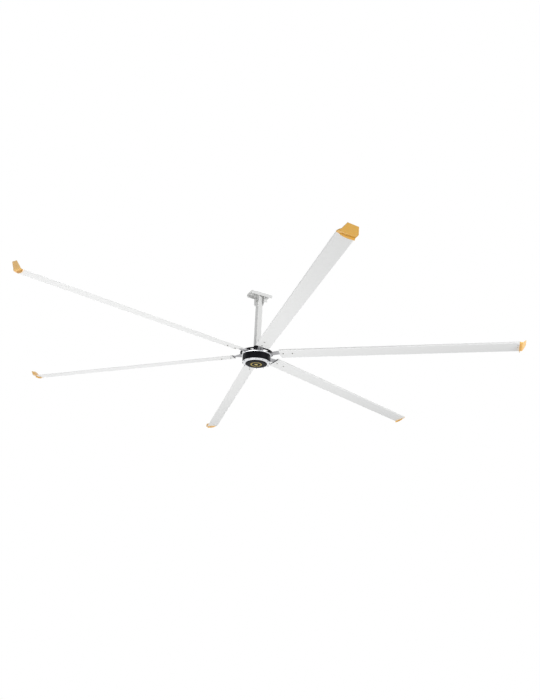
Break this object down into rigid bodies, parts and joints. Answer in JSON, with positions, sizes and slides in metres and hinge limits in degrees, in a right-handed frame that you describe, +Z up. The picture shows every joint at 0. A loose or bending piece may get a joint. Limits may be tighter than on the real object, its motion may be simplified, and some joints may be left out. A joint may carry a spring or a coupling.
{
  "type": "industrial ceiling fan",
  "caption": "Large slow-turning ceiling fan: channel bracket, square down tube, gearless outer-rotor motor and long drooping aluminium blades with upswept amber tips.",
  "frame": {"origin": "centre of the ceiling channel's top face, where it meets the ceiling", "axes": "+Z up into the ceiling along the shaft, +X along the ceiling channel, +Y across it"},
  "size_m": [7.0796, 7.2276, 1.1579],
  "materials": {
    "white_powder_coat": "satin white powder coat on steel",
    "white_blade": "satin off-white coated aluminium extrusion",
    "amber_plastic": "amber moulded plastic, slight gloss",
    "amber_inlay": "muted amber moulded plastic",
    "black_paint": "gloss black paint",
    "black_plastic": "gloss black moulded plastic",
    "bright_aluminium": "turned bright aluminium",
    "cast_aluminium": "bead-blasted cast aluminium",
    "zinc_steel": "zinc plated steel",
    "black_oxide_steel": "black oxide steel",
    "ground_steel": "ground bearing steel",
    "lamination_steel": "stacked electrical steel sheets",
    "enamelled_copper": "enamelled copper winding",
    "magnet": "nickel plated magnet",
    "seal_rubber": "nitrile rubber"
  },
  "bodies": {
    "mount": {"ceiling_channel": "white_powder_coat", "cheek_plates": "white_powder_coat", "gusset_plates": "white_powder_coat", "down_tube": "white_powder_coat", "upper_tube_bolts": "zinc_steel", "upper_tube_nuts": "zinc_steel", "lower_tube_bolts": "zinc_steel", "lower_tube_nuts": "zinc_steel", "hanger_neck": "black_paint", "neck_screws": "black_oxide_steel", "stator_shaft": "ground_steel", "stator_key": "ground_steel", "stator_hub": "cast_aluminium", "stator_core": "lamination_steel", "stator_windings": "enamelled_copper", "upper_bearing_inner_ring": "ground_steel", "lower_bearing_inner_ring": "ground_steel", "bearing_spacer": "ground_steel", "lock_washer": "ground_steel", "shaft_nut": "ground_steel"},
    "rotor": {"rotor_casing": "black_paint", "rotor_magnets": "magnet", "upper_end_bell": "bright_aluminium", "lower_end_bell": "bright_aluminium", "casing_screws": "black_oxide_steel", "upper_bearing_outer_ring": "ground_steel", "lower_bearing_outer_ring": "ground_steel", "shaft_seal": "seal_rubber", "bottom_cap": "black_plastic", "cap_inlays": "amber_inlay", "cap_screws": "black_oxide_steel", "hub_plate": "black_paint", "hub_bolts": "zinc_steel", "blade_bolts": "zinc_steel", "blade_nuts": "zinc_steel", "winglet_screws": "zinc_steel", "arm_1": "cast_aluminium", "blade_1": "white_blade", "winglet_1": "amber_plastic", "arm_2": "cast_aluminium", "blade_2": "white_blade", "winglet_2": "amber_plastic", "arm_3": "cast_aluminium", "blade_3": "white_blade", "winglet_3": "amber_plastic", "arm_4": "cast_aluminium", "blade_4": "white_blade", "winglet_4": "amber_plastic", "arm_5": "cast_aluminium", "blade_5": "white_blade", "winglet_5": "amber_plastic", "arm_6": "cast_aluminium", "blade_6": "white_blade", "winglet_6": "amber_plastic"},
    "upper_cage": {"upper_bearing_cage": "ground_steel"},
    "lower_cage": {"lower_bearing_cage": "ground_steel"}
  },
  "joints": [
    {"name": "rotor_spin", "type": "hinge", "parent": "mount", "child": "rotor", "pos_m": [0, 0, -0.976], "axis": [0, 0, 1], "continuous": true},
    {"name": "upper_cage_spin", "type": "hinge", "parent": "mount", "child": "upper_cage", "pos_m": [0, 0, -0.976], "axis": [0, 0, 1], "continuous": true},
    {"name": "lower_cage_spin", "type": "hinge", "parent": "mount", "child": "lower_cage", "pos_m": [0, 0, -0.976], "axis": [0, 0, 1], "continuous": true}
  ],
  "couplings": [
    {"joint": "upper_cage_spin", "follows": "rotor_spin", "ratio": 0.58919},
    {"joint": "lower_cage_spin", "follows": "rotor_spin", "ratio": 0.5871}
  ]
}
